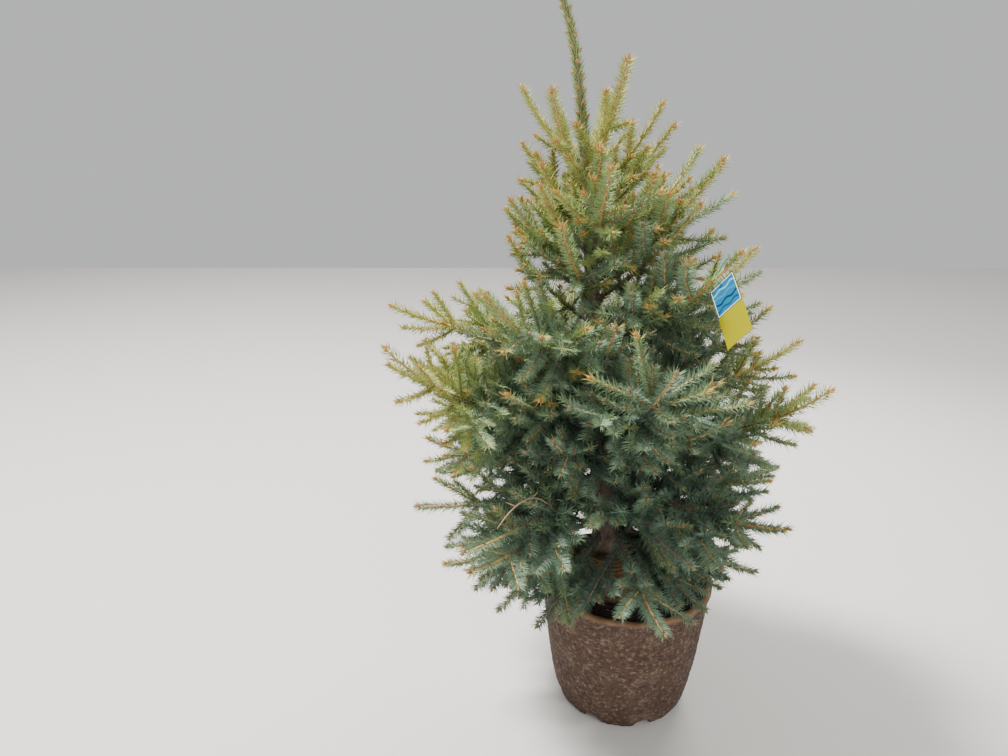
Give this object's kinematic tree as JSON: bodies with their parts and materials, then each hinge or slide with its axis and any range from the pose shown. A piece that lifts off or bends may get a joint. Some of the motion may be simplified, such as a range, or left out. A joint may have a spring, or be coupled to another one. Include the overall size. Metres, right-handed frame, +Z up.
{
  "type": "potted blue spruce",
  "caption": "Young blue spruce with whorled boughs and upswept needle sprays, in a tapered moulded fibre nursery pot, with a plain hang tag tied to a bough.",
  "frame": {"origin": "centre of the pot's flat underside", "axes": "+Z up; +X to the right as the tree is seen from its front, the side that the tag faces; +Y to the back"},
  "size_m": [1.0509, 1.0348, 1.822],
  "materials": {
    "pot": "rough moulded fibre pulp, rusty brown with pale flecks",
    "soil": "dark crumbly potting soil",
    "burlap": "weathered brown burlap over the root ball's crown",
    "bark": "thin scaly grey-brown bark",
    "bough_bark": "rough orange-brown twig bark with leaf pegs",
    "needles": "stiff waxy needles, blue-green in the shade to yellow-green at the tips",
    "tag": "printed sheet plastic, bright yellow below a blue panel",
    "tie": "smooth green plastic tie"
  },
  "bodies": {
    "root": {"pot": "pot", "soil": "soil", "root_ball": "burlap", "trunk": "bark", "bough_lower_1": "bough_bark", "bough_lower_2": "bough_bark", "bough_lower_3": "bough_bark", "bough_lower_4": "bough_bark", "bough_lower_5": "bough_bark", "bough_middle_1": "bough_bark", "bough_middle_2": "bough_bark", "bough_middle_3": "bough_bark", "bough_middle_4": "bough_bark", "bough_middle_5": "bough_bark", "bough_middle_6": "bough_bark", "bough_shoulder_1": "bough_bark", "bough_shoulder_2": "bough_bark", "bough_shoulder_3": "bough_bark", "bough_shoulder_4": "bough_bark", "bough_shoulder_5": "bough_bark", "bough_skirt_1": "bough_bark", "bough_skirt_2": "bough_bark", "bough_skirt_3": "bough_bark", "bough_skirt_4": "bough_bark", "bough_skirt_5": "bough_bark", "foliage_crown_1": "needles", "foliage_crown_2": "needles", "foliage_crown_3": "needles", "foliage_crown_4": "needles", "foliage_crown_5": "needles", "foliage_leader": "needles", "foliage_lower_1": "needles", "foliage_lower_2": "needles", "foliage_lower_3": "needles", "foliage_lower_4": "needles", "foliage_lower_5": "needles", "foliage_middle_1": "needles", "foliage_middle_2": "needles", "foliage_middle_3": "needles", "foliage_middle_4": "needles", "foliage_middle_5": "needles", "foliage_middle_6": "needles", "foliage_shoulder_1": "needles", "foliage_shoulder_2": "needles", "foliage_shoulder_3": "needles", "foliage_shoulder_4": "needles", "foliage_shoulder_5": "needles", "foliage_skirt_1": "needles", "foliage_skirt_2": "needles", "foliage_skirt_3": "needles", "foliage_skirt_4": "needles", "foliage_skirt_5": "needles", "foliage_upper_1": "needles", "foliage_upper_2": "needles", "foliage_upper_3": "needles", "foliage_upper_4": "needles", "foliage_upper_5": "needles", "foliage_upper_6": "needles", "hang_tag": "tag", "tag_tie": "tie"}
  },
  "joints": []
}
